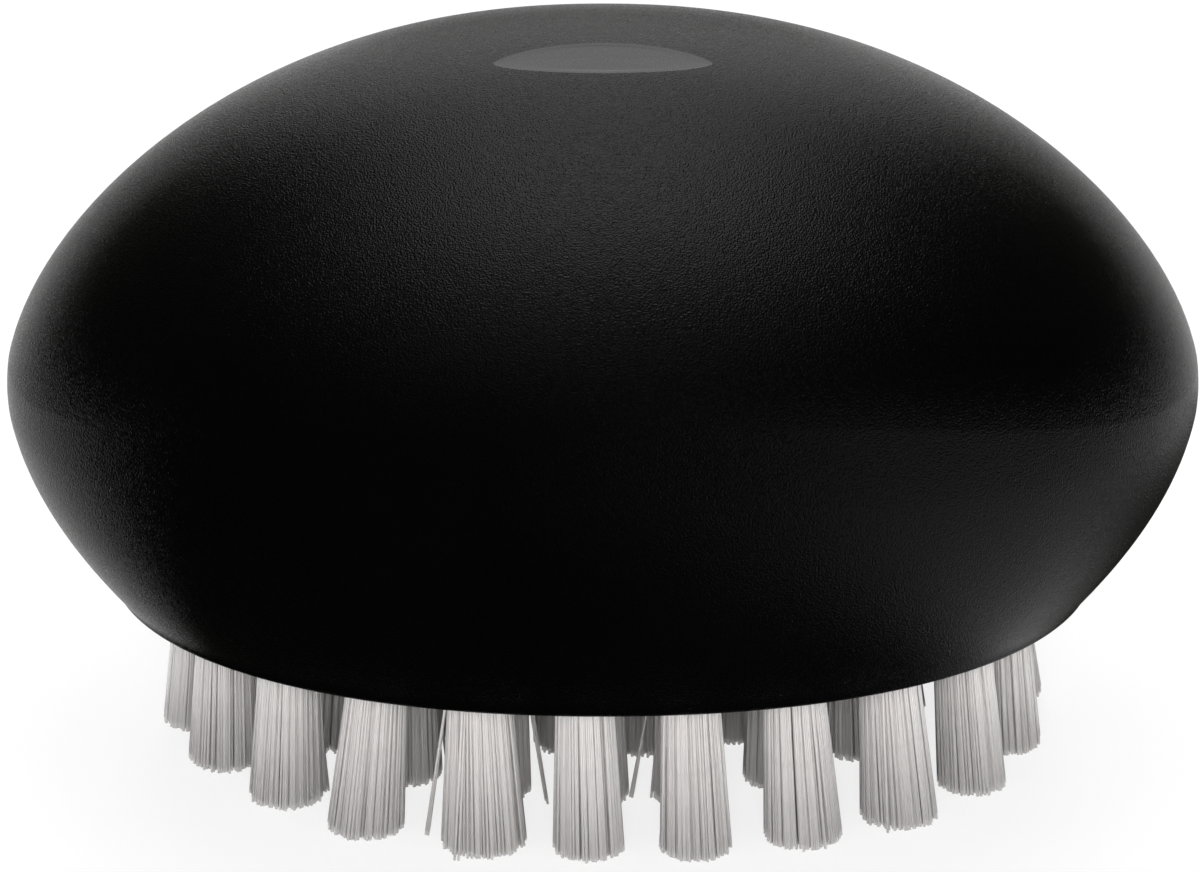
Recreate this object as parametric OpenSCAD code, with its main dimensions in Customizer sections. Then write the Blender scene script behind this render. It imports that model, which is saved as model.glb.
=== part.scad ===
// Palm-held vegetable brush: a soft oval grip over a rigid core, closed underneath by a
// block that holds three rings of nylon tufts. It stands on its bristle tips at z = 0,
// with its length along X and its crown at +Z. All sizes are in millimetres.

/* [Grip outline] */
// Length of the grip's oval, before its crease is rounded
grip_length = 86.2; // [78:0.2:100]
// Width of the grip's oval, before its crease is rounded
grip_width = 60.8; // [56:0.2:72]
// Height of the crown above the bristle tips
crown_z = 52.4; // [46:0.2:60]
// Squareness of the grip's oval, where 2 is an ellipse
grip_squareness = 2.16; // [2:0.02:2.6]
// Leanness of the dome over the ends, where 0.5 is an ellipse
dome_lean_end = 0.6; // [0.45:0.01:0.7]
// Leanness of the dome over the long sides
dome_lean_side = 0.44; // [0.38:0.01:0.6]

/* [Finger crease] */
// Height of the crease at the two ends
crease_end_z = 27.1; // [25:0.1:30]
// Rise of the crease from the ends to the middle of the long sides
crease_rise = 5.9; // [0:0.1:8]
// Power of the climb, where more keeps the crease low for longer
crease_climb = 2.1; // [1.5:0.05:3]
// Reach of the rounding over the crease at the ends
crease_round_end = 1.6; // [1:0.1:6]
// Reach of the rounding over the crease on the long sides
crease_round_side = 2.8; // [1:0.1:5]

/* [Skirt and rim] */
// Length of the rim under the skirt
rim_length = 71.4; // [68:0.2:76]
// Width of the rim under the skirt
rim_width = 53.4; // [51:0.2:56]
// Height of the rim above the bristle tips
rim_z = 12.1; // [10:0.1:14]
// Squareness of the rim's oval, where 2 is an ellipse
rim_squareness = 2.12; // [2:0.02:2.4]
// Bulge of the skirt at the ends
skirt_bulge_end = 1.5; // [0:0.1:2.5]
// Bulge of the skirt on the long sides
skirt_bulge_side = 1.4; // [0:0.1:2]
// Radius of the rim's outer edge
rim_round = 0.5; // [0.2:0.1:0.8]

/* [Badge pad] */
// Length of the bare lens-shaped pad on the crown
badge_length = 15.4; // [10:0.1:20]
// Width of the pad
badge_width = 5.4; // [3:0.1:8]
// Depth of the pad below the grip's grained skin
badge_depth = 0.1; // [0.05:0.05:0.6]
// Place of the pad in front of the crown's middle
badge_forward = 1.8; // [0:0.1:4]

/* [Walls] */
// Wall of the soft grip over the core
grip_wall = 2.6; // [1.8:0.1:3.2]
// Wall of the grip's lip around the bristle block
lip_wall = 1.2; // [0.8:0.1:1.8]
// Wall of the rigid core
core_wall = 2; // [1.2:0.1:3]

/* [Core] */
// Distance of the bosses from the middle, along the length
boss_x = 15; // [12:0.5:18]
// Distance of the bosses from the middle, across the width
boss_y = 9; // [7:0.5:11]
// Diameter of a boss
boss_d = 7.6; // [6.6:0.1:9]
// Thickness of the ribs under the dome
rib_thick = 1.8; // [1.2:0.1:2.6]

/* [Bristle block] */
// Thickness of the block
block_thick = 6; // [5.4:0.1:8]
// Recess of the block's face above the rim
block_recess = 1.6; // [0.5:0.1:2.5]
// Diameter of the press-fit pins on top of the block
pin_d = 4; // [3:0.1:5]
// Height of the pins
pin_height = 8; // [5:0.5:12]
// Diameter of a tuft hole
hole_d = 3.7; // [3.2:0.1:4]
// Depth of a tuft hole
hole_depth = 4.6; // [4:0.1:5]

/* [Tuft layout] */
// Tufts in the outer ring
outer_count = 21; // [17:1:22]
// Tufts in the middle ring
middle_count = 15; // [11:1:16]
// Tufts in the inner ring
inner_count = 8; // [5:1:9]
// Distance of the outer hole centres from the block's edge, at the ends
margin_end = 5.4; // [4:0.1:6]
// Distance of the outer hole centres from the block's edge, on the long sides
margin_side = 3.35; // [2.6:0.05:4]
// Distance of the inner hole centres from the middle, along the length
inner_ring_x = 10.95; // [10:0.05:12]
// Distance of the inner hole centres from the middle, across the width
inner_ring_y = 4.6; // [4.2:0.05:5.4]
// Spread of the field of tips over the field of holes
tip_spread = 1.03; // [1:0.005:1.06]

/* [Bristles] */
// Width of one bristle strand
strand_w = 0.6; // [0.35:0.05:0.6]
// Strands on the outside of a tuft
edge_strands = 5; // [5:1:7]
// Strands in the middle of a tuft
heart_strands = 3; // [2:1:3]
// Distance of the edge strands inside the outside of the tuft's root
strand_margin = 0.12; // [0.08:0.02:0.2]
// Distance of the heart strands from the tuft's axis, at the hole
heart_r = 0.6; // [0.5:0.05:0.65]
// Flare of a tuft from its hole to its tip
tuft_flare = 1.65; // [1.2:0.05:1.8]

/* [Tuft anchors] */
// Bite of the flat wire anchor into each side of its hole
anchor_bite = 0.35; // [0.2:0.05:0.6]
// Height of the anchor
anchor_height = 1.6; // [1:0.1:2]
// Thickness of the anchor's wire
anchor_thick = 0.35; // [0.25:0.05:0.5]
// Thickness of bristle folded over the anchor
fold_thick = 0.8; // [0.5:0.1:1.2]

/* [Fits] */
// Gap between the grip and the core
core_fit = 0.1; // [0.05:0.05:0.3]
// Gap between the block and the grip's lip
block_fit = 0.15; // [0.05:0.05:0.3]
// Gap round a pin in its boss, and above it
pin_fit = 0.05; // [0.02:0.01:0.1]
// Gap round a tuft in its hole
tuft_fit = 0.05; // [0.02:0.01:0.1]
// Gap round an anchor in its groove and in its tuft
anchor_fit = 0.04; // [0.02:0.01:0.1]

/* [Hidden] */
// Steps round the ovals, and along each stretch of a profile
around = 48;
dome_steps = 8;
crease_steps = 4;
skirt_steps = 5;
inner_dome_steps = 4;
inner_crease_steps = 1;
inner_skirt_steps = 1;
// Points round the pad, and the power that blunts its tips
lens_steps = 32;
lens_power = 1.5;
// Sides of a tuft hole, of a tuft's root in it and of a boss
small_sides = 8;
// Cuts run this far past the faces that they open
cut = 1;
// Strands reach this far into the root of their tuft
strand_bite = 0.4;
// Turn of the strands from one tuft to the next, in degrees
tuft_turn = 23;
// Places where each ring starts, in degrees round its oval
outer_start = -178.7;
middle_start = -93;
inner_start = -112.5;

block_face_z = rim_z + block_recess;
block_top_z = block_face_z + block_thick;
block_inset = lip_wall + block_fit;
core_inset = grip_wall + core_fit;
core_inner_inset = core_inset + core_wall;
outer_ring = [rim_length / 2 - block_inset - margin_end, rim_width / 2 - block_inset - margin_side];
inner_ring = [inner_ring_x, inner_ring_y];
middle_ring = (outer_ring + inner_ring) / 2;
anchor_length = hole_d + 2 * anchor_bite;
anchor_top_z = block_face_z + hole_depth - tuft_fit - fold_thick;
anchor_foot_z = anchor_top_z - anchor_height;
root_d = hole_d - 2 * tuft_fit;
edge_r = (root_d - strand_w) / 2 - strand_margin;

// Hole centres of each ring
outer_seats = ring_seats(outer_count, outer_ring, outer_start);
middle_seats = ring_seats(middle_count, middle_ring, middle_start);
inner_seats = ring_seats(inner_count, inner_ring, inner_start);
seats = concat(outer_seats, middle_seats, inner_seats);

outer_names = tuft_names("outer", outer_count);
middle_names = tuft_names("middle", middle_count);
inner_names = tuft_names("inner", inner_count);
names = concat(outer_names, middle_names, inner_names);

function two_digits(n) = n < 10 ? str("0", n) : str(n);

function tuft_names(ring, count) = [for (i = [1 : count]) str("tuft_", ring, "_", two_digits(i))];

// Seats at an even pitch round an ellipse: the sine term evens out the arc lengths
function ring_seats(count, axes, start) = [
    for (i = [0 : count - 1])
        let (
            turn = start + i * 360 / count,
            even = (axes.x - axes.y) / (2 * (axes.x + axes.y)) * 180 / PI,
            t = turn + even * sin(2 * turn)
        )
        [axes.x * cos(t), axes.y * sin(t)]
];

function mix(a, b, share) = a + (b - a) * share;

function signed_power(value, power) = sign(value) * pow(abs(value), power);

// Point at parameter t of a superellipse
function oval(t, a, b, squareness) = [
    a * signed_power(cos(t), 2 / squareness),
    b * signed_power(sin(t), 2 / squareness)
];

function crease_plan(t, inset) =
    oval(t, grip_length / 2 - inset, grip_width / 2 - inset, grip_squareness);

function rim_plan(t, inset) =
    oval(t, rim_length / 2 - inset, rim_width / 2 - inset, rim_squareness);

// From 0 at the ends of the oval to 1 in the middle of its long sides
function side_share(t) = pow(sin(t), 2);

function crease_z(t) = crease_end_z + crease_rise * pow(abs(sin(t)), crease_climb);

function crease_round(t) = mix(crease_round_end, crease_round_side, side_share(t));

function dome_lean(t) = mix(dome_lean_end, dome_lean_side, side_share(t));

function skirt_bulge(t) = mix(skirt_bulge_end, skirt_bulge_side, side_share(t));

// Point of the dome, with out running from 0 at the crown to 1 at the crease
function dome_point(t, out, inset) =
    let (plan = crease_plan(t, inset) * out)
    let (rise = (crown_z - inset - crease_z(t)) * pow(1 - out * out, dome_lean(t)))
    [plan.x, plan.y, crease_z(t) + rise];

// Point of the skirt, with down running from 0 at the crease to 1 at the rim
function skirt_point(t, down, inset) =
    let (plan = mix(crease_plan(t, inset), rim_plan(t, inset), down))
    let (bulged = plan * (1 + 4 * down * (1 - down) * skirt_bulge(t) / norm(plan)))
    [bulged.x, bulged.y, mix(crease_z(t), rim_z + rim_round, down)];

// Where the rounding over the crease starts on the dome and ends on the skirt
function dome_end(t, inset) =
    sqrt(1 - pow(crease_round(t) / (crown_z - inset - crease_z(t)), 1 / dome_lean(t)));

function skirt_start(t) = crease_round(t) / (crease_z(t) - rim_z - rim_round);

// Share of the way down the skirt at which it reaches height z
function skirt_share(t, z) = (crease_z(t) - z) / (crease_z(t) - rim_z - rim_round);

// Quadratic curve that rounds the crease
function crease_point(t, share, inset) =
    let (from = dome_point(t, dome_end(t, inset), inset))
    let (corner = skirt_point(t, 0, inset))
    let (to = skirt_point(t, skirt_start(t), inset))
    mix(mix(from, corner, share), mix(corner, to, share), share);

// Profile of the skin at t, set in from the outside, from beside the crown to height foot_z
function skin_profile(t, inset, foot_z, domes, creases, skirts) = [
    for (i = [1 : domes]) dome_point(t, dome_end(t, inset) * sin(90 * i / domes), inset),
    for (i = [1 : creases]) crease_point(t, i / creases, inset),
    for (i = [1 : skirts])
        skirt_point(t, mix(skirt_start(t), skirt_share(t, foot_z), i / skirts), inset)
];

// The same from the crown to the block's top, with a dome of so many steps
function inner_profile(t, inset, domes) =
    skin_profile(t, inset, block_top_z, domes, inner_crease_steps, inner_skirt_steps);

function reversed(list) = [for (i = [len(list) - 1 : -1 : 0]) list[i]];

function raised(plan, z) = [plan.x, plan.y, z];

// The rim's rounded edge and the straight pocket that takes the block
function lip_profile(t) = [
    raised(rim_plan(t, rim_round * (1 - cos(45))), rim_z + rim_round * (1 - sin(45))),
    raised(rim_plan(t, rim_round), rim_z),
    raised(rim_plan(t, lip_wall), rim_z),
    raised(rim_plan(t, lip_wall), block_top_z)
];

function grip_profile(t) = concat(
    skin_profile(t, 0, rim_z + rim_round, dome_steps, crease_steps, skirt_steps),
    lip_profile(t),
    reversed(inner_profile(t, grip_wall, inner_dome_steps))
);

function core_profile(t) = concat(
    inner_profile(t, core_inset, inner_dome_steps),
    reversed(inner_profile(t, core_inner_inset, inner_dome_steps))
);

// Closed skin through profiles that all run from one point on the axis to another
module skin(profiles, first, last) {
    turns = len(profiles);
    rings = len(profiles[0]);
    end = rings * turns + 1;
    points = concat(
        [first],
        [for (r = [0 : rings - 1]) for (i = [0 : turns - 1]) profiles[i][r]],
        [last]
    );
    function at(r, i) = 1 + r * turns + i % turns;
    faces = concat(
        [for (i = [0 : turns - 1]) [0, at(0, i + 1), at(0, i)]],
        [for (r = [0 : rings - 2]) for (i = [0 : turns - 1])
            each [[at(r, i), at(r, i + 1), at(r + 1, i + 1)], [at(r, i), at(r + 1, i + 1), at(r + 1, i)]]],
        [for (i = [0 : turns - 1]) [end, at(rings - 1, i), at(rings - 1, i + 1)]]
    );
    polyhedron(points, faces);
}

function all_round() = [for (i = [0 : around - 1]) i * 360 / around];

// Everything inside the skin at a given inset, down to the block
module dome_space(inset, domes) {
    skin(
        [for (t = all_round()) inner_profile(t, inset, domes)],
        [0, 0, crown_z - inset],
        [0, 0, block_top_z]
    );
}

// Lens with blunt tips
function lens_point(t) = [badge_length / 2 * cos(t), badge_width / 2 * signed_power(sin(t), lens_power)];

// Lens-shaped recess whose floor follows the crown
module badge_recess() {
    difference() {
        translate([0, -badge_forward, crown_z - grip_wall])
            linear_extrude(grip_wall + cut)
                polygon([for (i = [0 : lens_steps - 1]) lens_point(i * 360 / lens_steps)]);
        dome_space(badge_depth, dome_steps);
    }
}

module grip_shell() color([0.05, 0.05, 0.05])
    difference() {
        skin(
            [for (t = all_round()) grip_profile(t)],
            [0, 0, crown_z],
            [0, 0, crown_z - grip_wall]
        );
        badge_recess();
    }

// Upright bar with a flat face at each end of X
module small_round(d, height) {
    rotate(180 / small_sides) cylinder(d = d, h = height, $fn = small_sides);
}

module at_bosses() {
    for (x = [-boss_x, boss_x], y = [-boss_y, boss_y])
        translate([x, y, block_top_z]) children();
}

// Upright plate centred at x, standing on the block
module rib(x, plan) {
    translate([x - plan.x / 2, -plan.y / 2, block_top_z]) cube([plan.x, plan.y, crown_z]);
}

module handle_core() color([0.25, 0.25, 0.27])
    difference() {
        union() {
            skin(
                [for (t = all_round()) core_profile(t)],
                [0, 0, crown_z - core_inset],
                [0, 0, crown_z - core_inner_inset]
            );
            intersection() {
                dome_space(core_inner_inset - core_wall / 2, inner_dome_steps);
                union() {
                    at_bosses() small_round(boss_d, crown_z);
                    rib(0, [grip_length, rib_thick]);
                    for (x = [-boss_x, boss_x]) rib(x, [rib_thick, grip_width]);
                }
            }
        }
        at_bosses()
            translate([0, 0, -cut]) cylinder(d = pin_d + 2 * pin_fit, h = cut + pin_height + pin_fit);
    }

// Groove that an anchor cuts as it is pressed in, from the block's face to its own top
module anchor_groove() {
    length = anchor_length + 2 * anchor_fit;
    thick = anchor_thick + 2 * anchor_fit;
    depth = anchor_top_z + anchor_fit - block_face_z;
    translate([-length / 2, -thick / 2, block_face_z - cut]) cube([length, thick, cut + depth]);
}

module bristle_block() color([0.12, 0.12, 0.13])
    difference() {
        union() {
            translate([0, 0, block_face_z])
                linear_extrude(block_thick)
                    polygon([for (t = all_round()) rim_plan(t, block_inset)]);
            at_bosses() translate([0, 0, -cut]) cylinder(d = pin_d, h = cut + pin_height);
        }
        for (seat = seats)
            translate([seat.x, seat.y, 0]) {
                translate([0, 0, block_face_z - cut]) small_round(hole_d, cut + hole_depth);
                anchor_groove();
            }
    }

module tuft_anchors() color([0.78, 0.7, 0.45])
    for (seat = seats)
        translate([seat.x - anchor_length / 2, seat.y - anchor_thick / 2, anchor_foot_z])
            cube([anchor_length, anchor_thick, anchor_height]);

// Straight four-sided strand from below its tip up into the root, leaning away from the axis
module strand(angle, root_r, tip_shift) {
    along = [cos(angle), sin(angle)] * root_r;
    tip = raised(tip_shift + along * tuft_flare, 0);
    lean = raised(along, block_face_z + strand_bite) - tip;
    translate(tip)
        rotate([0, acos(lean.z / norm(lean)), atan2(lean.y, lean.x)])
            translate([-strand_w / 2, -strand_w / 2, -cut])
                cube([strand_w, strand_w, norm(lean) + cut]);
}

// Root folded over its anchor in the hole, with its strands fused to it and cut flat at z = 0
module tuft(seat, turn) color([0.86, 0.86, 0.84])
    translate([seat.x, seat.y, 0])
        difference() {
            union() {
                translate([0, 0, block_face_z]) small_round(root_d, hole_depth - tuft_fit);
                for (i = [0 : edge_strands - 1])
                    strand(turn + i * 360 / edge_strands, edge_r, seat * (tip_spread - 1));
                for (i = [0 : heart_strands - 1])
                    strand(turn + i * 360 / heart_strands, heart_r, seat * (tip_spread - 1));
            }
            translate([-hole_d / 2, -anchor_thick / 2 - anchor_fit, anchor_foot_z - anchor_fit])
                cube([hole_d, anchor_thick + 2 * anchor_fit, anchor_height + 2 * anchor_fit]);
            translate([-hole_d, -hole_d, -2 * cut]) cube([2 * hole_d, 2 * hole_d, 2 * cut]);
        }

grip_shell();
handle_core();
bristle_block();
tuft_anchors();
for (i = [0 : len(seats) - 1])
    tuft(seats[i], i * tuft_turn);
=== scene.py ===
# %% [markdown]
# # A palm-held vegetable brush
# The brush is a soft, matte black grip over a rigid core, with 44 short tufts of clear nylon
# under it. The construction comes in as a fixed frame. This lesson gives it its looks: the
# grip's skin, the filaments of every tuft, the finishes, the camera and the light.

# %% Load the frame
import math
import random

import bmesh
import bpy
from mathutils import Matrix, Vector


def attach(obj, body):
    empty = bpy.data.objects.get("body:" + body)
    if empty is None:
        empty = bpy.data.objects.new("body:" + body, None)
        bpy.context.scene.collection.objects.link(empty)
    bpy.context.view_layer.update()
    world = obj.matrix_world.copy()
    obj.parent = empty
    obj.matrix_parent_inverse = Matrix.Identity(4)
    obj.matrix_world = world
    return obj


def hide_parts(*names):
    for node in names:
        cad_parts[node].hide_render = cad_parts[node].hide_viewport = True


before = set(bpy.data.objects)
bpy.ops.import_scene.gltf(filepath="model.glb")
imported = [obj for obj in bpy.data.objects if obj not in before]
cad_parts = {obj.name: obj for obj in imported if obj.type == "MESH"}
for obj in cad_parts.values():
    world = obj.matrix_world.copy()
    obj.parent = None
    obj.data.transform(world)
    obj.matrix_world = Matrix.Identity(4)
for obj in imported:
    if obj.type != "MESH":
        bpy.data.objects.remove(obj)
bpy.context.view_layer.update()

print("nodes in the frame:", len(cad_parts))

# %% [markdown]
# ## Sizes
# Blender works in metres here, so one millimetre gets a name and every size is written with it.
# The grip's sizes are the ones that the construction was drawn from, so that the skin made here
# lies on the solid that it stands for.

# %% Sizes of the grip
mm = 0.001
grip_length = 86.2 * mm
grip_width = 60.8 * mm
grip_squareness = 2.16
crown_z = 52.4 * mm
dome_lean_end = 0.6
dome_lean_side = 0.44
crease_end_z = 27.1 * mm
crease_rise = 5.9 * mm
crease_climb = 2.1
crease_round_end = 1.6 * mm
crease_round_side = 2.8 * mm
rim_length = 71.4 * mm
rim_width = 53.4 * mm
rim_z = 12.1 * mm
rim_squareness = 2.12
skirt_bulge_end = 1.5 * mm
skirt_bulge_side = 1.4 * mm
rim_round = 0.5 * mm
grip_wall = 2.6 * mm
lip_wall = 1.2 * mm
block_face_z = 13.7 * mm
block_top_z = 19.7 * mm
print("grip:", grip_length / mm, "x", grip_width / mm, "mm, crown at", crown_z / mm, "mm")

# %% [markdown]
# ## The grip's shape as functions
# The grip isn't a plain ellipsoid: its outline is a slightly squared oval, and the crease that
# the fingers rest in climbs from the ends to the middle of the long sides. Sculpting that by
# hand would drift away from the construction, so small functions say where each point of the
# skin lies. `turn` runs round the oval and `inset` goes inwards through the wall.

# %% Ovals
def mix(a, b, share):
    return a + (b - a) * share


def signed_power(value, power):
    return math.copysign(abs(value) ** power, value)


def oval(turn, length, width, squareness):
    return Vector((
        length / 2 * signed_power(math.cos(turn), 2 / squareness),
        width / 2 * signed_power(math.sin(turn), 2 / squareness),
    ))


def crease_plan(turn, inset=0):
    return oval(turn, grip_length - 2 * inset, grip_width - 2 * inset, grip_squareness)


def rim_plan(turn, inset=0):
    return oval(turn, rim_length - 2 * inset, rim_width - 2 * inset, rim_squareness)


def from_end_to_side(turn, end, side):
    return mix(end, side, math.sin(turn) ** 2)


def crease_z(turn):
    return crease_end_z + crease_rise * abs(math.sin(turn)) ** crease_climb


print("crease height at the ends and the sides, mm:", crease_z(0) / mm, crease_z(math.pi / 2) / mm)

# %% [markdown]
# ## Dome, skirt and crease
# Above the crease the palm rests on a dome, and below it a skirt runs in to the rim. The dome
# leans more over the ends than over the sides, and the skirt bulges a little. The two would meet
# in a sharp edge, which a moulded rubber never has, so a quadratic curve rounds it.


# %% Points of the skin
def dome_z(turn, out, inset=0):
    lean = from_end_to_side(turn, dome_lean_end, dome_lean_side)
    return crease_z(turn) + (crown_z - inset - crease_z(turn)) * (1 - out * out) ** lean


def dome_point(turn, out, inset=0):
    return (crease_plan(turn, inset) * out).to_3d() + Vector((0, 0, dome_z(turn, out, inset)))


def dome_end(turn, inset=0):
    lean = from_end_to_side(turn, dome_lean_end, dome_lean_side)
    reach = from_end_to_side(turn, crease_round_end, crease_round_side)
    return math.sqrt(1 - (reach / (crown_z - inset - crease_z(turn))) ** (1 / lean))


def skirt_point(turn, down, inset=0):
    plan = mix(crease_plan(turn, inset), rim_plan(turn, inset), down)
    bulge = from_end_to_side(turn, skirt_bulge_end, skirt_bulge_side)
    plan = plan * (1 + 4 * down * (1 - down) * bulge / plan.length)
    return plan.to_3d() + Vector((0, 0, mix(crease_z(turn), rim_z + rim_round, down)))


def skirt_share(turn, z):
    return (crease_z(turn) - z) / (crease_z(turn) - rim_z - rim_round)


def skirt_start(turn):
    reach = from_end_to_side(turn, crease_round_end, crease_round_side)
    return skirt_share(turn, crease_z(turn) - reach)


def crease_point(turn, share, inset=0):
    start = dome_point(turn, dome_end(turn, inset), inset)
    corner = skirt_point(turn, 0, inset)
    stop = skirt_point(turn, skirt_start(turn), inset)
    return mix(mix(start, corner, share), mix(corner, stop, share), share)


print("widest point of the crease, mm:", round(crease_point(0, 0.5).x / mm, 2))

# %% [markdown]
# ## The pad on the crown
# The crown carries a small lens-shaped pad with blunt tips, a tenth of a millimetre deep in the
# middle and left bare and smooth. Cutting it with a boolean would leave long thin faces that
# shade badly, so the skin's innermost rings are lens-shaped instead, and the rings outside them
# change step by step into the grip's oval.

# %% Lens outline and crown height
pad_length = 15.4 * mm
pad_width = 5.4 * mm
pad_depth = 0.1 * mm
lens_power = 1.3
pad_middle = Vector((0, -1.8)) * mm


def lens(turn, grow=0):
    """Point of the pad's outline, grown outwards by so much."""
    return Vector((
        (pad_length / 2 + grow) * math.cos(turn),
        (pad_width / 2 + grow) * signed_power(math.sin(turn), lens_power)))


def on_crown(plan, depth=0.0):
    """Point at this place in the plan, so deep under the dome."""
    along = (abs(plan.x) / (grip_length / 2)) ** grip_squareness
    across = (abs(plan.y) / (grip_width / 2)) ** grip_squareness
    out = (along + across) ** (1 / grip_squareness)
    turn = math.atan2(math.sqrt(across), math.sqrt(along))
    return Vector((plan.x, plan.y, dome_z(turn, out) - depth))


print("pad:", pad_length / mm, "x", pad_width / mm, "mm, sunk", pad_depth / mm, "mm")

# %% [markdown]
# ## Rings of the outside
# A ring is a function that takes the turn and gives a point. Listed from the middle of the pad,
# out over the dome, round the crease and down the skirt, the rings describe the outside. They
# lie closer together where the skin bends more, as at the pad's edge and the crease.

# %% Rings of the outside
pad_scales = (0, 0.2, 0.4, 0.6, 0.75, 0.88)
pad_dish = 0.75
# How far outside the pad's outline each ring of its edge lies, and how deep, in millimetres
pad_edge = ((-0.25, 0.023), (-0.1, 0.02), (0.02, 0.012), (0.1, 0.004), (0.18, 0))
crown_steps = 7
crown_out = 0.42
dome_steps = 30
crease_steps = 12
skirt_steps = 18


def pad_ring(scale):
    depth = pad_depth * (1 - pad_dish * scale * scale)
    return lambda turn: on_crown(pad_middle + lens(turn) * scale, depth)


def pad_edge_ring(grow, depth):
    return lambda turn: on_crown(pad_middle + lens(turn, grow * mm), depth * mm)


def crown_ring(share):
    """Ring between the pad's edge and the grip's own oval."""
    outermost = pad_edge[-1][0] * mm
    return lambda turn: on_crown(
        mix(pad_middle + lens(turn, outermost), crease_plan(turn) * crown_out, share))


def dome_ring(share, inset=0, start_out=0.0):
    def point(turn):
        end = dome_end(turn, inset)
        angle = mix(math.asin(start_out / end), math.pi / 2, share)
        return dome_point(turn, end * math.sin(angle), inset)
    return point


def crease_ring(share, inset=0):
    return lambda turn: crease_point(turn, share, inset)


def skirt_ring(share):
    return lambda turn: skirt_point(turn, mix(skirt_start(turn), 1, share))


def shares(steps):
    return [step / steps for step in range(1, steps + 1)]


outside = [pad_ring(scale) for scale in pad_scales]
outside += [pad_edge_ring(grow, depth) for grow, depth in pad_edge]
last_bare_ring = len(outside) - 2
outside += [crown_ring(share) for share in shares(crown_steps)]
outside += [dome_ring(share, 0, crown_out) for share in shares(dome_steps)]
outside += [crease_ring(share) for share in shares(crease_steps)]
outside += [skirt_ring(share) for share in shares(skirt_steps)]
print("rings of the outside:", len(outside))

# %% [markdown]
# ## Rings of the lip and the inside
# The grip is a moulding with a real wall. It turns in under the rim in a lip, which holds the
# bristle block, and its inside follows the outside at the wall's distance. Listing those rings
# as well makes one closed skin instead of a shell that has to be thickened afterwards.

# %% Rings of the lip and the inside
lip_steps = 5
inner_round = 0.25 * mm
inner_dome_steps = 10
inner_steps = 4


def rim_ring(inset, z):
    return lambda turn: rim_plan(turn, inset).to_3d() + Vector((0, 0, z))


def rim_round_ring(share):
    angle = share * math.pi / 2
    return rim_ring(rim_round * (1 - math.cos(angle)), rim_z + rim_round * (1 - math.sin(angle)))


def inner_skirt_ring(share):
    return lambda turn: skirt_point(
        turn, mix(skirt_start(turn), skirt_share(turn, block_top_z), share), grip_wall)


underside = [rim_round_ring(share) for share in shares(lip_steps)]
underside.append(rim_ring(lip_wall - inner_round, rim_z))
underside.append(rim_ring(lip_wall, rim_z + inner_round))
underside.append(rim_ring(lip_wall, mix(rim_z, block_top_z, 0.5)))
underside.append(rim_ring(lip_wall, block_top_z))

inside = [dome_ring(share, grip_wall) for share in shares(inner_dome_steps)]
inside += [crease_ring(share, grip_wall) for share in shares(inner_steps)]
inside += [inner_skirt_ring(share) for share in shares(inner_steps)]
inside.reverse()
inside.append(lambda turn: Vector((0, 0, crown_z - grip_wall)))
print("rings of the lip and the inside:", len(underside), len(inside))

# %% [markdown]
# ## One skin from all the rings
# `bmesh.ops.spin` turns a straight stick of vertices into a tube: one row of faces between each
# pair of rings, already closed round. The height of a vertex on that tube only counts its
# ring, and the ring's function then puts it in place. The two ends close to a point, so
# doubles are merged there, and the normals are worked out again after that. The faces of the
# pad get the second material, for the bare rubber.


# %% Spin the grip's skin
def finished_piece(name, bm):
    """Makes an object at the origin from a bmesh, smooth shaded and fixed to the root body."""
    mesh = bpy.data.meshes.new(name)
    bm.to_mesh(mesh)
    bm.free()
    mesh.shade_smooth()
    piece = bpy.data.objects.new(name, mesh)
    bpy.context.scene.collection.objects.link(piece)
    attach(piece, "root")
    return piece


def spun_skin(rings, around):
    bm = bmesh.new()
    stick = [bm.verts.new((1, 0, height)) for height in range(len(rings))]
    for below, above in zip(stick, stick[1:]):
        bm.edges.new((below, above))
    bmesh.ops.spin(
        bm, geom=bm.verts[:] + bm.edges[:], cent=(0, 0, 0), axis=(0, 0, 1), dvec=(0, 0, 0),
        angle=2 * math.pi, steps=around, use_merge=True, use_duplicate=False)
    ring_layer = bm.verts.layers.int.new("ring")
    for vert in bm.verts:
        vert[ring_layer] = round(vert.co.z)
        vert.co = rings[vert[ring_layer]](math.atan2(vert.co.y, vert.co.x))
    bmesh.ops.remove_doubles(bm, verts=bm.verts[:], dist=1e-4 * mm)
    bmesh.ops.recalc_face_normals(bm, faces=bm.faces[:])
    return bm


grip_around = 192
grip_mesh = spun_skin(outside + underside + inside, grip_around)
ring_layer = grip_mesh.verts.layers.int["ring"]
for face in grip_mesh.faces:
    face.material_index = int(max(vert[ring_layer] for vert in face.verts) <= last_bare_ring)
grip = finished_piece("grip_skin", grip_mesh)
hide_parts("grip_shell")
print("grip skin:", len(grip.data.polygons), "faces")

# %% [markdown]
# ## Seats of the tufts
# The block holds its tufts in three oval rings. Their pitch along the oval is even, because a
# drill and a staple head step evenly, and the tips spread a little wider than the holes.

# %% Seats of the tufts
outer_axes = Vector((28.95, 22.0)) * mm
ring_step = Vector((9.0, 8.7)) * mm
tip_spread = 1.03
tuft_rings = (
    ("outer", 21, outer_axes, math.radians(-178.7)),
    ("middle", 15, outer_axes - ring_step, math.radians(-93)),
    ("inner", 8, outer_axes - 2 * ring_step, math.radians(-112.5)),
)


def seats_round(count, axes, start):
    """Seats at an even pitch round an ellipse: the sine term evens out the arc lengths."""
    even = (axes.x - axes.y) / (2 * (axes.x + axes.y))
    for number in range(count):
        turn = start + number * 2 * math.pi / count
        turn += even * math.sin(2 * turn)
        yield Vector((axes.x * math.cos(turn), axes.y * math.sin(turn)))


print("tufts:", sum(count for _, count, _, _ in tuft_rings))

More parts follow.
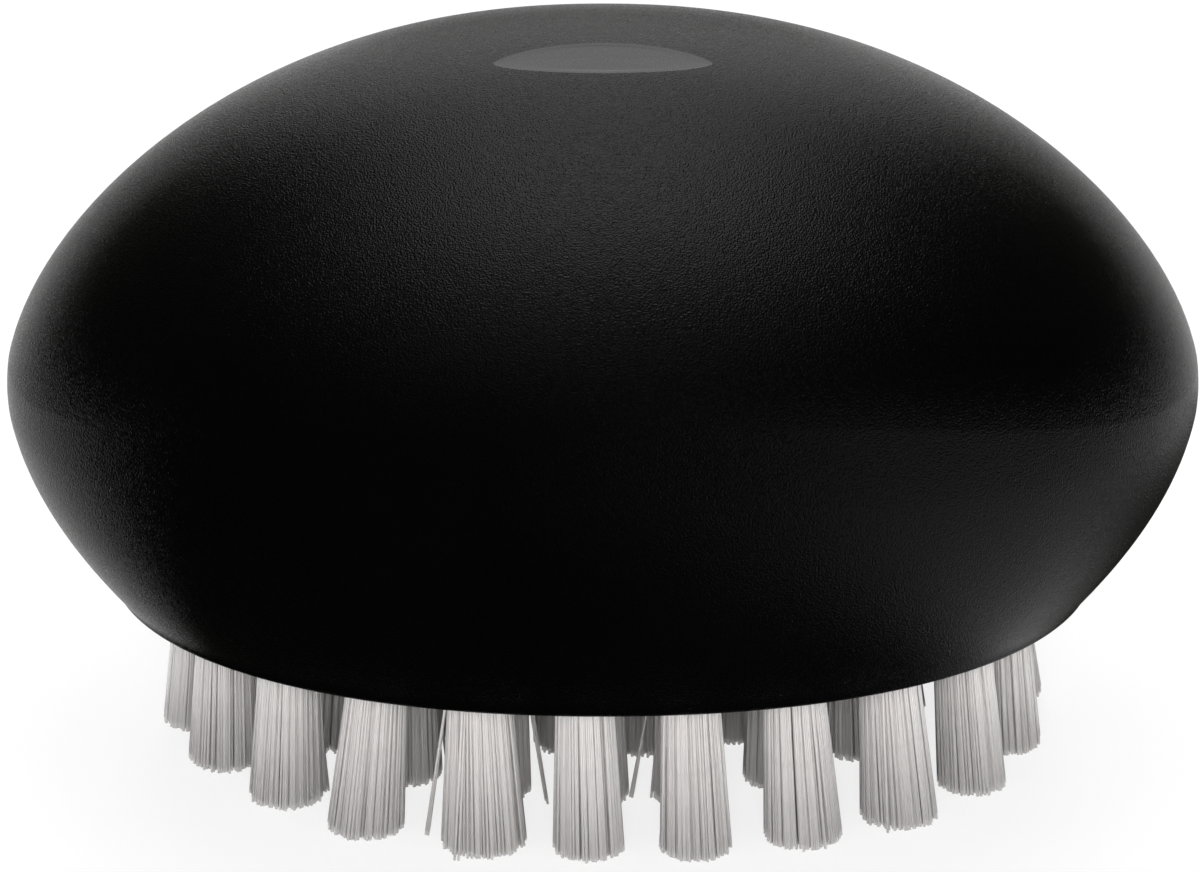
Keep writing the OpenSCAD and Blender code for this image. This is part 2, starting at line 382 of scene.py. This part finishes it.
# %% [markdown]
# ## One filament
# A filament is a thin nylon rod. It runs from the fold at the bottom of its hole, past the
# block's face and the rim, to its tip. A curve or hair system would do, but real closed meshes
# also survive the export, so one rod is made once, with five sides, and copied into place. Its
# vertices only count their heights, from 0 for the fold to 3 for the tip. Each stretch is
# extruded from the end face of the one before, and that face is then deleted, as it would stay
# inside the rod.

# %% One filament
filament_sides = 5
filament_d = 0.21 * mm
fold_z = block_face_z + 4.2 * mm
mouth_z = block_face_z + 0.9 * mm
filament_heights = (fold_z, mouth_z, rim_z, 0)


def filament_template():
    bm = bmesh.new()
    bmesh.ops.create_circle(bm, cap_ends=True, segments=filament_sides, radius=filament_d / 2)
    first_end = bm.faces[:]
    end = first_end
    for _ in filament_heights[1:]:
        grown = bmesh.ops.extrude_face_region(bm, geom=end)["geom"]
        if end != first_end:
            bmesh.ops.delete(bm, geom=end, context="FACES_ONLY")
        end = [part for part in grown if isinstance(part, bmesh.types.BMFace)]
        moved = [part for part in grown if isinstance(part, bmesh.types.BMVert)]
        bmesh.ops.translate(bm, verts=moved, vec=(0, 0, 1))
    bmesh.ops.recalc_face_normals(bm, faces=bm.faces[:])
    print("open edges of a filament:", sum(not edge.is_manifold for edge in bm.edges))
    mesh = bpy.data.meshes.new("filament")
    bm.to_mesh(mesh)
    bm.free()
    return mesh


filament = filament_template()
print("one filament:", len(filament.polygons), "faces")

# %% [markdown]
# ## A bundle of filaments
# A tuft is a bundle of straight filaments, folded over a flat wire anchor and pulled into a
# blind hole. It is as wide as its hole there and flares towards its tips, where a cutter has
# left it almost level. The golden angle spreads the filaments evenly over the hole without a
# pattern. No two tufts of a real brush are alike, so the ones in front get the lean and the
# width that the photograph shows, and the rest get a small lean of their own.

# %% Sizes and habits of the bundles
filaments_per_tuft = 640
bundle_r = 1.66 * mm
# Share of the flare that a tuft has at the rim, and its full flare at the tips
rim_share = 0.38
tip_flare = 1.48
golden_turn = math.pi * (3 - math.sqrt(5))
turn_wobble = 0.4
splay = 0.05 * mm
# Spread of the heights of the tips that the cutter left uneven, and the share of such tips
ragged = 0.175 * mm
uneven_share = 0.9
# Distance that the folds keep from the middle of the anchor
anchor_clear = 0.42 * mm
# Share of the filaments that lean outwards, and how far
stray_share = 0.004
stray_lean = 1.0 * mm
# Pairs of filaments that stray far, by tuft, with their reach in millimetres from the seat
strays = {
    "outer_03": (-2.8, 0.5),
    "outer_05": (-3.7, 0.5),
    "middle_15": (3.5, -2.7),
    "middle_02": (-3.8, -1.5),
}
strays_per_tuft = 2
stray_turn = 0.15
stray_stretch = 0.04
# Lean of a tuft's tips along X and Y in millimetres, and the factor on its flare
habits = {
    "outer_01": (0.2, 0.3, 1.05),
    "outer_02": (0.6, 0.8, 1.1),
    "outer_03": (0.3, 0.8, 1.08),
    "outer_04": (-0.5, 0.2, 1.1),
    "outer_05": (0.55, 0.2, 1.22),
    "outer_06": (0.35, 0.2, 1.0),
    "outer_07": (0.25, -0.2, 1.02),
    "outer_08": (0.35, -0.2, 1.12),
    "outer_09": (0.35, -0.8, 1.1),
    "outer_10": (0.2, -1.0, 1.0),
    "outer_11": (-0.2, -1.2, 1.05),
    "outer_12": (0.5, 0.0, 1.05),
}
# The same for all other tufts, whose lean is random with this spread
lean_spread = 0.25
usual_width = 1.06
print("tufts with a habit of their own:", len(habits), "and with strays:", len(strays))

# %% [markdown]
# ## The way of a filament
# Four points set the way of a filament: at the fold beside the anchor, at the mouth of the hole,
# at the rim and at the tip. It starts to lean at the mouth, as the hole holds it upright.


# %% Paths of the filaments
def place_in_hole(number, draw):
    r = bundle_r * math.sqrt((number + 0.5) / filaments_per_tuft)
    angle = number * golden_turn + draw.random() * turn_wobble
    return Vector((r * math.cos(angle), r * math.sin(angle)))


def stray_in_hole(reach, number, flare):
    """Place of a stray filament in the hole, and the shift that brings its tip to its reach."""
    place = reach.normalized() * bundle_r
    place.rotate(Matrix.Rotation(number * stray_turn, 2))
    return place, reach * (1 + stray_stretch * number) - place * flare


def filament_path(place, tip_shift, flare, draw):
    """Centre of the filament at each of its heights, from its fold to its tip."""
    fold = Vector((place.x, math.copysign(max(abs(place.y), anchor_clear), place.y)))
    loose = Vector((draw.gauss(0, splay), draw.gauss(0, splay)))
    if draw.random() < stray_share:
        loose += place.normalized() * stray_lean
    tip = place * flare + tip_shift + loose
    rim = place * mix(1, flare, rim_share)
    tip_z = abs(draw.gauss(0, ragged)) if draw.random() < uneven_share else 0
    heights = filament_heights[:-1] + (tip_z,)
    return [plan.to_3d() + Vector((0, 0, z))
            for plan, z in zip((fold, place, rim, tip), heights)]


trial = filament_path(Vector((bundle_r, 0)), Vector((0, 0)), tip_flare, random.Random(0))
print("an outermost filament from fold to tip, mm:", [round(point.x / mm, 2) for point in trial])

# %% [markdown]
# ## All the tufts
# Each tuft is one piece, which replaces the construction's tuft at the same seat. Every
# filament also stores a tone of its own on its vertices, which its finish reads later.


# %% Tufts
def add_filament(bm, seat, path, tone):
    bm.from_mesh(filament)
    bm.verts.ensure_lookup_table()
    tone_layer = bm.verts.layers.float["filament_tone"]
    for vert in bm.verts[-len(filament.vertices):]:
        centre = path[round(vert.co.z)]
        vert.co = centre + Vector((seat.x + vert.co.x, seat.y + vert.co.y, 0))
        vert[tone_layer] = tone


def tuft_piece(ring_name, seat, draw):
    bm = bmesh.new()
    bm.verts.layers.float.new("filament_tone")
    usual_habit = (draw.gauss(0, lean_spread), draw.gauss(0, lean_spread), usual_width)
    lean_x, lean_y, wider = habits.get(ring_name, usual_habit)
    tip_shift = seat * (tip_spread - 1) + Vector((lean_x, lean_y)) * mm
    flare = tip_flare * wider
    stray = strays.get(ring_name)
    count = filaments_per_tuft + (strays_per_tuft if stray else 0)
    for number in range(count):
        place = place_in_hole(number, draw)
        shift = tip_shift
        if number >= filaments_per_tuft:
            reach = Vector(stray) * mm
            place, shift = stray_in_hole(reach, number - filaments_per_tuft, flare)
        path = filament_path(place, shift, flare, draw)
        add_filament(bm, seat, path, draw.random())
    return finished_piece(f"filaments_{ring_name}", bm)


draw = random.Random(7)
tufts = []
for ring, count, axes, start in tuft_rings:
    for number, seat in enumerate(seats_round(count, axes, start), 1):
        tuft = tuft_piece(f"{ring}_{number:02d}", seat, draw)
        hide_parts(f"tuft_{ring}_{number:02d}")
        tufts.append(tuft)
print("tufts made:", len(tufts), "with", sum(len(t.data.polygons) for t in tufts), "faces")

# %% [markdown]
# ## Finishes
# Every finish is made of nodes on Object coordinates, so it sits on the piece the same way from
# every side and at every scale. Small helpers make a material with one Principled shader and
# add noise, colour, range and bump to it.


# %% Helpers for finishes
def new_finish(name, **settings):
    material = bpy.data.materials.new(name)
    material.use_nodes = True
    shader = material.node_tree.nodes["Principled BSDF"]
    for socket, value in settings.items():
        shader.inputs[socket.replace("_", " ")].default_value = value
    return material, material.node_tree, shader


def add_noise(tree, scale, detail=2.0):
    noise = tree.nodes.new("ShaderNodeTexNoise")
    noise.inputs["Scale"].default_value = scale
    noise.inputs["Detail"].default_value = detail
    place = tree.nodes.new("ShaderNodeTexCoord")
    tree.links.new(place.outputs["Object"], noise.inputs["Vector"])
    return noise.outputs["Fac"]


def add_ramp(tree, value, low, high, start=0.0, stop=1.0):
    ramp = tree.nodes.new("ShaderNodeValToRGB")
    ramp.color_ramp.elements[0].position = start
    ramp.color_ramp.elements[1].position = stop
    ramp.color_ramp.elements[0].color = (*low, 1)
    ramp.color_ramp.elements[1].color = (*high, 1)
    tree.links.new(value, ramp.inputs["Fac"])
    return ramp.outputs["Color"]


def add_range(tree, value, low, high):
    node = tree.nodes.new("ShaderNodeMapRange")
    node.inputs["To Min"].default_value = low
    node.inputs["To Max"].default_value = high
    tree.links.new(value, node.inputs["Value"])
    return node.outputs["Result"]


def add_bump(tree, shader, height, depth):
    bump = tree.nodes.new("ShaderNodeBump")
    bump.inputs["Distance"].default_value = depth
    bump.inputs["Strength"].default_value = 1.0
    tree.links.new(height, bump.inputs["Height"])
    tree.links.new(bump.outputs["Normal"], shader.inputs["Normal"])


def give(piece, *materials):
    """Gives a piece its materials. Clearing an empty list would reset the faces' indices."""
    if piece.data.materials:
        piece.data.materials.clear()
    for material in materials:
        piece.data.materials.append(material)


print("helpers: new_finish, add_noise, add_ramp, add_range, add_bump, give")

# %% [markdown]
# ## Soft black elastomer
# The grip is a thermoplastic rubber. Its mould was etched, so the skin has a fine grain of
# about a tenth of a millimetre. That is too small to model, so it is noise in the bump and the
# roughness. The rubber itself is almost fully black, and what shows of it is a weak, broad
# gloss with a trace of sheen. The pad's part of the mould was polished, so its bump is much
# shallower and it reflects a little more. Its base colour is also a little paler, which paints
# in part of the shine of its smooth face.

# %% Grip finishes
rubber, tree, shader = new_finish(
    "grip_rubber", Specular_IOR_Level=0.1, Sheen_Weight=0.02, Sheen_Roughness=0.3)
shader.inputs["Sheen Tint"].default_value = (0.95, 0.93, 0.82, 1)
grain = add_noise(tree, 8200, detail=0)
patches = add_noise(tree, 45, detail=3)
deep_black = (0.0006, 0.0006, 0.0006)
black = (0.0012, 0.0012, 0.0012)
tree.links.new(add_ramp(tree, patches, deep_black, black, 0.3, 0.7), shader.inputs["Base Color"])
tree.links.new(add_range(tree, grain, 0.22, 0.36), shader.inputs["Roughness"])
add_bump(tree, shader, grain, 0.055 * mm)

smooth_rubber, tree, shader = new_finish("pad_rubber", Specular_IOR_Level=0.25)
grain = add_noise(tree, 5200)
# The pad's greys are paler than the grip's black: painted shine, part of the smooth pad's gloss
painted_shine_darker_grey = (0.02, 0.02, 0.02)
painted_shine_dark_grey = (0.026, 0.025, 0.025)
tree.links.new(add_ramp(tree, grain, painted_shine_darker_grey, painted_shine_dark_grey), shader.inputs["Base Color"])
tree.links.new(add_range(tree, grain, 0.22, 0.32), shader.inputs["Roughness"])
add_bump(tree, shader, grain, 0.006 * mm)
give(grip, rubber, smooth_rubber)
print("grip finishes:", [m.name for m in grip.data.materials])

# %% [markdown]
# ## Nylon filaments
# The filaments are clear nylon, milky in a bundle, so the shader lets part of the light through.
# Each filament's own tone gives the fine upright streaks of a real tuft.

# %% Filament finish
nylon, tree, shader = new_finish(
    "bristle_nylon", Specular_IOR_Level=0.3, Transmission_Weight=0.4, IOR=1.53)
tone = tree.nodes.new("ShaderNodeAttribute")
tone.attribute_name = "filament_tone"
dull = (0.85, 0.82, 0.81)
pale = (0.9, 0.87, 0.86)
tree.links.new(add_ramp(tree, tone.outputs["Fac"], dull, pale), shader.inputs["Base Color"])
tree.links.new(add_range(tree, add_noise(tree, 900), 0.4, 0.55), shader.inputs["Roughness"])
for tuft in tufts:
    give(tuft, nylon)
print("filament finish on", len(tufts), "tufts")

# %% [markdown]
# ## Hidden pieces
# The block, the core and the wire anchors keep their construction meshes and only get a finish:
# moulded plastic for the first two and drawn brass for the anchors.


# %% Plastic and brass
def moulded_plastic(name, dark, light, roughness, grain_scale):
    material, tree, shader = new_finish(name, Specular_IOR_Level=0.4)
    grain = add_noise(tree, grain_scale, detail=4)
    tree.links.new(add_ramp(tree, grain, dark, light, 0.3, 0.7), shader.inputs["Base Color"])
    tree.links.new(add_range(tree, grain, roughness - 0.06, roughness + 0.06),
                   shader.inputs["Roughness"])
    add_bump(tree, shader, grain, 0.01 * mm)
    return material


def drawn_brass(name):
    material, tree, shader = new_finish(name, Metallic=1.0)
    streaks = add_noise(tree, 2500)
    tree.links.new(add_ramp(tree, streaks, (0.62, 0.5, 0.24), (0.8, 0.68, 0.4)),
                   shader.inputs["Base Color"])
    tree.links.new(add_range(tree, streaks, 0.22, 0.38), shader.inputs["Roughness"])
    return material


hidden = {
    "bristle_block": moulded_plastic(
        "block_plastic", (0.02, 0.02, 0.021), (0.03, 0.03, 0.032), 0.5, 1500),
    "handle_core": moulded_plastic(
        "core_plastic", (0.06, 0.06, 0.065), (0.085, 0.085, 0.09), 0.55, 1200),
    "tuft_anchors": drawn_brass("anchor_wire"),
}
for name, material in hidden.items():
    give(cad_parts[name], material)
print("hidden pieces finished:", list(hidden))

# %% [markdown]
# ## Floor and world
# A product picture stands on a white sweep. Here a pale floor carries the shadow, and the floor
# and the world are white for rays that come straight from the camera, from a reflection or
# through a filament. For all other rays the floor doesn't glow and the world is a plain grey,
# so that they don't burn out the pale tufts.


# %% Floor and world
def camera_or_mirror_ray(tree):
    path = tree.nodes.new("ShaderNodeLightPath")
    total = path.outputs["Is Camera Ray"]
    for ray in ("Is Glossy Ray", "Is Transmission Ray"):
        either = tree.nodes.new("ShaderNodeMath")
        either.operation = "MAXIMUM"
        tree.links.new(total, either.inputs[0])
        tree.links.new(path.outputs[ray], either.inputs[1])
        total = either.outputs[0]
    return total


def choose(tree, seen_directly, otherwise, seen):
    """Grey of the first strength where seen is 1 and of the second where it is 0."""
    node = tree.nodes.new("ShaderNodeMix")
    node.data_type = "RGBA"
    node.inputs["A"].default_value = (otherwise, otherwise, otherwise, 1)
    node.inputs["B"].default_value = (seen_directly, seen_directly, seen_directly, 1)
    tree.links.new(seen, node.inputs["Factor"])
    return node.outputs["Result"]


floor_radius = 4
floor_mesh = bmesh.new()
bmesh.ops.create_circle(floor_mesh, cap_ends=True, segments=96, radius=floor_radius)
floor = finished_piece("floor", floor_mesh)
floor_finish, tree, shader = new_finish("floor", Roughness=0.9, Specular_IOR_Level=0.0)
seen = camera_or_mirror_ray(tree)
tree.links.new(choose(tree, 0.2, 0.85, seen), shader.inputs["Base Color"])
tree.links.new(choose(tree, 0.8, 0, seen), shader.inputs["Emission Color"])
shader.inputs["Emission Strength"].default_value = 1.0
give(floor, floor_finish)

scene = bpy.context.scene
world = scene.world or bpy.data.worlds.new("world")
scene.world = world
world.use_nodes = True
tree = world.node_tree
background = tree.nodes["Background"]
tree.links.new(choose(tree, 1.0, 0.5, camera_or_mirror_ray(tree)), background.inputs["Color"])
background.inputs["Strength"].default_value = 1.0
scene.view_settings.view_transform = "Standard"
print("floor radius:", floor_radius, "m, view transform:", scene.view_settings.view_transform)

# %% [markdown]
# ## Camera
# The camera stands where the photograph was taken from: a long lens, about 23 degrees above the
# horizon, with the two ends of the crease almost at the edges of the frame.

# %% Camera
view_height = math.radians(23.03)
view_distance = 0.659
aim = Vector((-0.0002, -0.0027, 0.0235))
lens_mm = 274

camera_data = bpy.data.cameras.new("camera")
camera_data.lens = lens_mm
camera_data.sensor_width = 36
camera_data.clip_start = 0.01
camera = bpy.data.objects.new("camera", camera_data)
scene.collection.objects.link(camera)
back = Vector((0, -math.cos(view_height), math.sin(view_height)))
camera.location = aim + back * view_distance
camera.rotation_euler = (-back).to_track_quat("-Z", "Y").to_euler()
scene.camera = camera
print("camera at", [round(c, 4) for c in camera.location])

# %% [markdown]
# ## Lamps
# The large lamp overhead gives the dome its soft gloss. The front lamp stands close to the
# camera's direction, so it also reaches the tufts in the gaps, and the others fill the sides and
# the back. All but the first are hidden from reflections, where they would show as spots on
# the black rubber.

# %% Lamps
lamp_target = Vector((0, 0, 0.03))


def soft_lamp(name, place, size, watts, reflected=True):
    data = bpy.data.lights.new(name, "AREA")
    data.shape = "DISK"
    data.size = size
    data.energy = watts
    lamp = bpy.data.objects.new(name, data)
    lamp.location = place
    lamp.visible_glossy = reflected
    lamp.rotation_euler = (lamp_target - Vector(place)).to_track_quat("-Z", "Y").to_euler()
    scene.collection.objects.link(lamp)
    return lamp


lamps = [
    soft_lamp("overhead_lamp", (0, 0.25, 0.85), 0.9, 5),
    soft_lamp("left_lamp", (-0.75, -0.75, 0.22), 0.5, 1.2, reflected=False),
    soft_lamp("right_lamp", (0.85, -0.6, 0.22), 0.5, 1.2, reflected=False),
    soft_lamp("front_lamp", (0, -0.85, 0.385), 0.3, 4.4, reflected=False),
    soft_lamp("back_lamp", (0, 0.9, 0.25), 0.5, 5, reflected=False),
]
print("lamps:", {lamp.name: lamp.data.energy for lamp in lamps})

# %% [markdown]
# ## Black cards
# On a white sweep a black object would turn grey at its sides, because it mirrors the white
# round it. A photographer keeps it black with black cards, called flags. These do the same:
# upright ones at the sides, in front and behind, and two that lie on the floor, in front of and
# under the brush and beside its right end. Only reflections see them, so they cast no shadow
# and don't hide the floor.

# %% Black cards
side_x = 0.15
side_y = 0.5
side_top = 0.5
front_y = -0.3
front_x = 0.3
front_top = 0.2
back_y = 0.3
back_x = 0.045
back_top = 0.045
low_z = 0.5 * mm
# How far the lying cards reach: under the brush, on its left and beside its right end
under_x = 33 * mm
under_y = 10 * mm
left_y = -3 * mm
right_x = 70 * mm
right_y = 60 * mm


def flag(name, corners):
    """Black card that only reflections see."""
    bm = bmesh.new()
    bm.faces.new([bm.verts.new(corner) for corner in corners])
    card = finished_piece(name, bm)
    card.visible_camera = False
    card.visible_diffuse = False
    card.visible_transmission = False
    card.visible_shadow = False
    give(card, black_card)
    return card


def upright(x0, y0, x1, y1, top):
    return [(x0, y0, 0), (x1, y1, 0), (x1, y1, top), (x0, y0, top)]


def lying(*outline):
    return [(x, y, low_z) for x, y in outline]


black_card, tree, shader = new_finish("black_card", Specular_IOR_Level=0.0)
shader.inputs["Base Color"].default_value = (0, 0, 0, 1)
flags = [
    flag("left_flag", upright(-side_x, -side_y, -side_x, side_y, side_top)),
    flag("right_flag", upright(side_x, -side_y, side_x, side_y, side_top)),
    flag("front_flag", upright(-front_x, front_y, front_x, front_y, front_top)),
    flag("low_flag", lying(
        (-front_x, front_y), (under_x, front_y), (under_x, under_y),
        (-under_x, under_y), (-under_x, left_y), (-front_x, left_y))),
    flag("low_right_flag", lying(
        (under_x, 0), (right_x, 0), (right_x, right_y), (under_x, right_y))),
    flag("back_flag", upright(-back_x, back_y, back_x, back_y, back_top)),
]
print("flags:", [card.name for card in flags])
